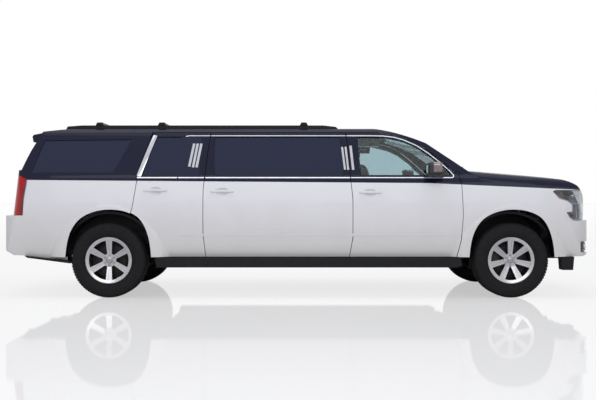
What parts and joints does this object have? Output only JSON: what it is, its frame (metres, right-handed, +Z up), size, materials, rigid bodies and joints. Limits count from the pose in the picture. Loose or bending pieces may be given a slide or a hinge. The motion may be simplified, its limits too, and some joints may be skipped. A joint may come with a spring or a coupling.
{
  "type": "stretch limousine",
  "caption": "Stretch limousine on a large estate-car body, two-tone white and midnight blue, with steering, road wheels, side doors, hood and tailgate that move.",
  "frame": {"origin": "on the ground midway between the bumpers, on the centre line", "axes": "+X towards the front bumper, +Z up, +Y towards the car's left side"},
  "size_m": [6.553, 2.38, 1.91],
  "materials": {
    "paint": "pearl white below the belt line, midnight blue above, clear coat",
    "paint_dark": "midnight blue, clear coat",
    "glass_dark": "dark privacy tint",
    "glass_clear": "light tint",
    "chrome": "bright plate",
    "alloy": "machined and lacquered",
    "tyre": "satin",
    "black_plastic": "grained",
    "gloss_black": "gloss",
    "lamp_clear": "clear lens",
    "lamp_red": "red lens",
    "frame_paint": "black chassis paint",
    "cast": "as cast",
    "steel": "stainless",
    "trim": "soft touch",
    "seat": "black leather",
    "liner": "textured"
  },
  "bodies": {
    "root": {"cowl": "black_plastic", "front_fenders": "paint", "headlamps": "lamp_clear", "grille": "chrome", "bumper_front": "paint", "bumper_inserts": "black_plastic", "bumper_rear": "paint", "splash_guards": "black_plastic", "quarter_panels": "paint", "quarter_glass": "glass_dark", "tail_lamps": "lamp_red", "roof": "paint_dark", "windshield": "glass_clear", "side_frames": "paint_dark", "ladder_frame": "frame_paint", "floor_pan": "trim", "wheelhouses": "liner", "engine_block": "cast", "radiator": "black_plastic", "fuel_tank": "black_plastic", "exhaust": "steel", "propshaft": "frame_paint", "dashboard": "trim", "steering_wheel": "trim", "front_seats": "seat", "lounge_seats": "seat", "running_boards": "black_plastic", "roof_rack": "gloss_black", "front_suspension": "frame_paint", "rear_axle": "frame_paint"},
    "door_front_right": {"door_front_right": "paint", "glass_front_right": "glass_clear", "mirror_right": "chrome"},
    "door_middle_right": {"door_middle_right": "paint", "glass_middle_right": "glass_dark"},
    "door_rear_right": {"door_rear_right": "paint", "glass_rear_right": "glass_dark"},
    "door_front_left": {"door_front_left": "paint", "glass_front_left": "glass_clear", "mirror_left": "chrome"},
    "door_middle_left": {"door_middle_left": "paint", "glass_middle_left": "glass_dark"},
    "door_rear_left": {"door_rear_left": "paint", "glass_rear_left": "glass_dark"},
    "tailgate": {"tailgate": "paint", "tailgate_glass": "glass_dark"},
    "hood": {"hood": "paint_dark"},
    "knuckle_right": {"knuckle_right": "cast"},
    "knuckle_left": {"knuckle_left": "cast"},
    "wheel_front_right": {"tyre_front_right": "tyre", "rim_front_right": "alloy"},
    "wheel_front_left": {"tyre_front_left": "tyre", "rim_front_left": "alloy"},
    "wheel_rear_right": {"tyre_rear_right": "tyre", "rim_rear_right": "alloy"},
    "wheel_rear_left": {"tyre_rear_left": "tyre", "rim_rear_left": "alloy"}
  },
  "joints": [
    {"name": "door_front_right", "type": "hinge", "parent": "root", "child": "door_front_right", "pos_m": [1.748, -1.009, 0.85], "axis": [0, 0, 1], "range_deg": [0, 68]},
    {"name": "door_middle_right", "type": "hinge", "parent": "root", "child": "door_middle_right", "pos_m": [0.57, -1.009, 0.85], "axis": [0, 0, 1], "range_deg": [0, 62]},
    {"name": "door_rear_right", "type": "hinge", "parent": "root", "child": "door_rear_right", "pos_m": [-1.025, -1.009, 0.85], "axis": [0, 0, 1], "range_deg": [0, 68]},
    {"name": "door_front_left", "type": "hinge", "parent": "root", "child": "door_front_left", "pos_m": [1.748, 1.009, 0.85], "axis": [0, 0, -1], "range_deg": [0, 68]},
    {"name": "door_middle_left", "type": "hinge", "parent": "root", "child": "door_middle_left", "pos_m": [0.57, 1.009, 0.85], "axis": [0, 0, -1], "range_deg": [0, 62]},
    {"name": "door_rear_left", "type": "hinge", "parent": "root", "child": "door_rear_left", "pos_m": [-1.025, 1.009, 0.85], "axis": [0, 0, -1], "range_deg": [0, 68]},
    {"name": "tailgate", "type": "hinge", "parent": "root", "child": "tailgate", "pos_m": [-2.697, 0, 1.838], "axis": [0, 1, 0], "range_deg": [0, 85]},
    {"name": "hood", "type": "hinge", "parent": "root", "child": "hood", "pos_m": [1.997, 0, 1.368], "axis": [0, -1, 0], "range_deg": [0, 48]},
    {"name": "steering_right", "type": "hinge", "parent": "root", "child": "knuckle_right", "pos_m": [2.2865, -0.742, 0.401], "axis": [0, 0, 1], "range_deg": [-33, 33]},
    {"name": "steering_left", "type": "hinge", "parent": "root", "child": "knuckle_left", "pos_m": [2.2865, 0.742, 0.401], "axis": [0, 0, 1], "range_deg": [-33, 33]},
    {"name": "wheel_front_right", "type": "hinge", "parent": "knuckle_right", "child": "wheel_front_right", "pos_m": [2.2865, -0.87, 0.401], "axis": [0, 1, 0], "continuous": true},
    {"name": "wheel_front_left", "type": "hinge", "parent": "knuckle_left", "child": "wheel_front_left", "pos_m": [2.2865, 0.87, 0.401], "axis": [0, 1, 0], "continuous": true},
    {"name": "wheel_rear_right", "type": "hinge", "parent": "root", "child": "wheel_rear_right", "pos_m": [-2.0315, -0.87, 0.401], "axis": [0, 1, 0], "continuous": true},
    {"name": "wheel_rear_left", "type": "hinge", "parent": "root", "child": "wheel_rear_left", "pos_m": [-2.0315, 0.87, 0.401], "axis": [0, 1, 0], "continuous": true}
  ],
  "couplings": [
    {"joint": "steering_right", "follows": "steering_left", "ratio": 1}
  ]
}
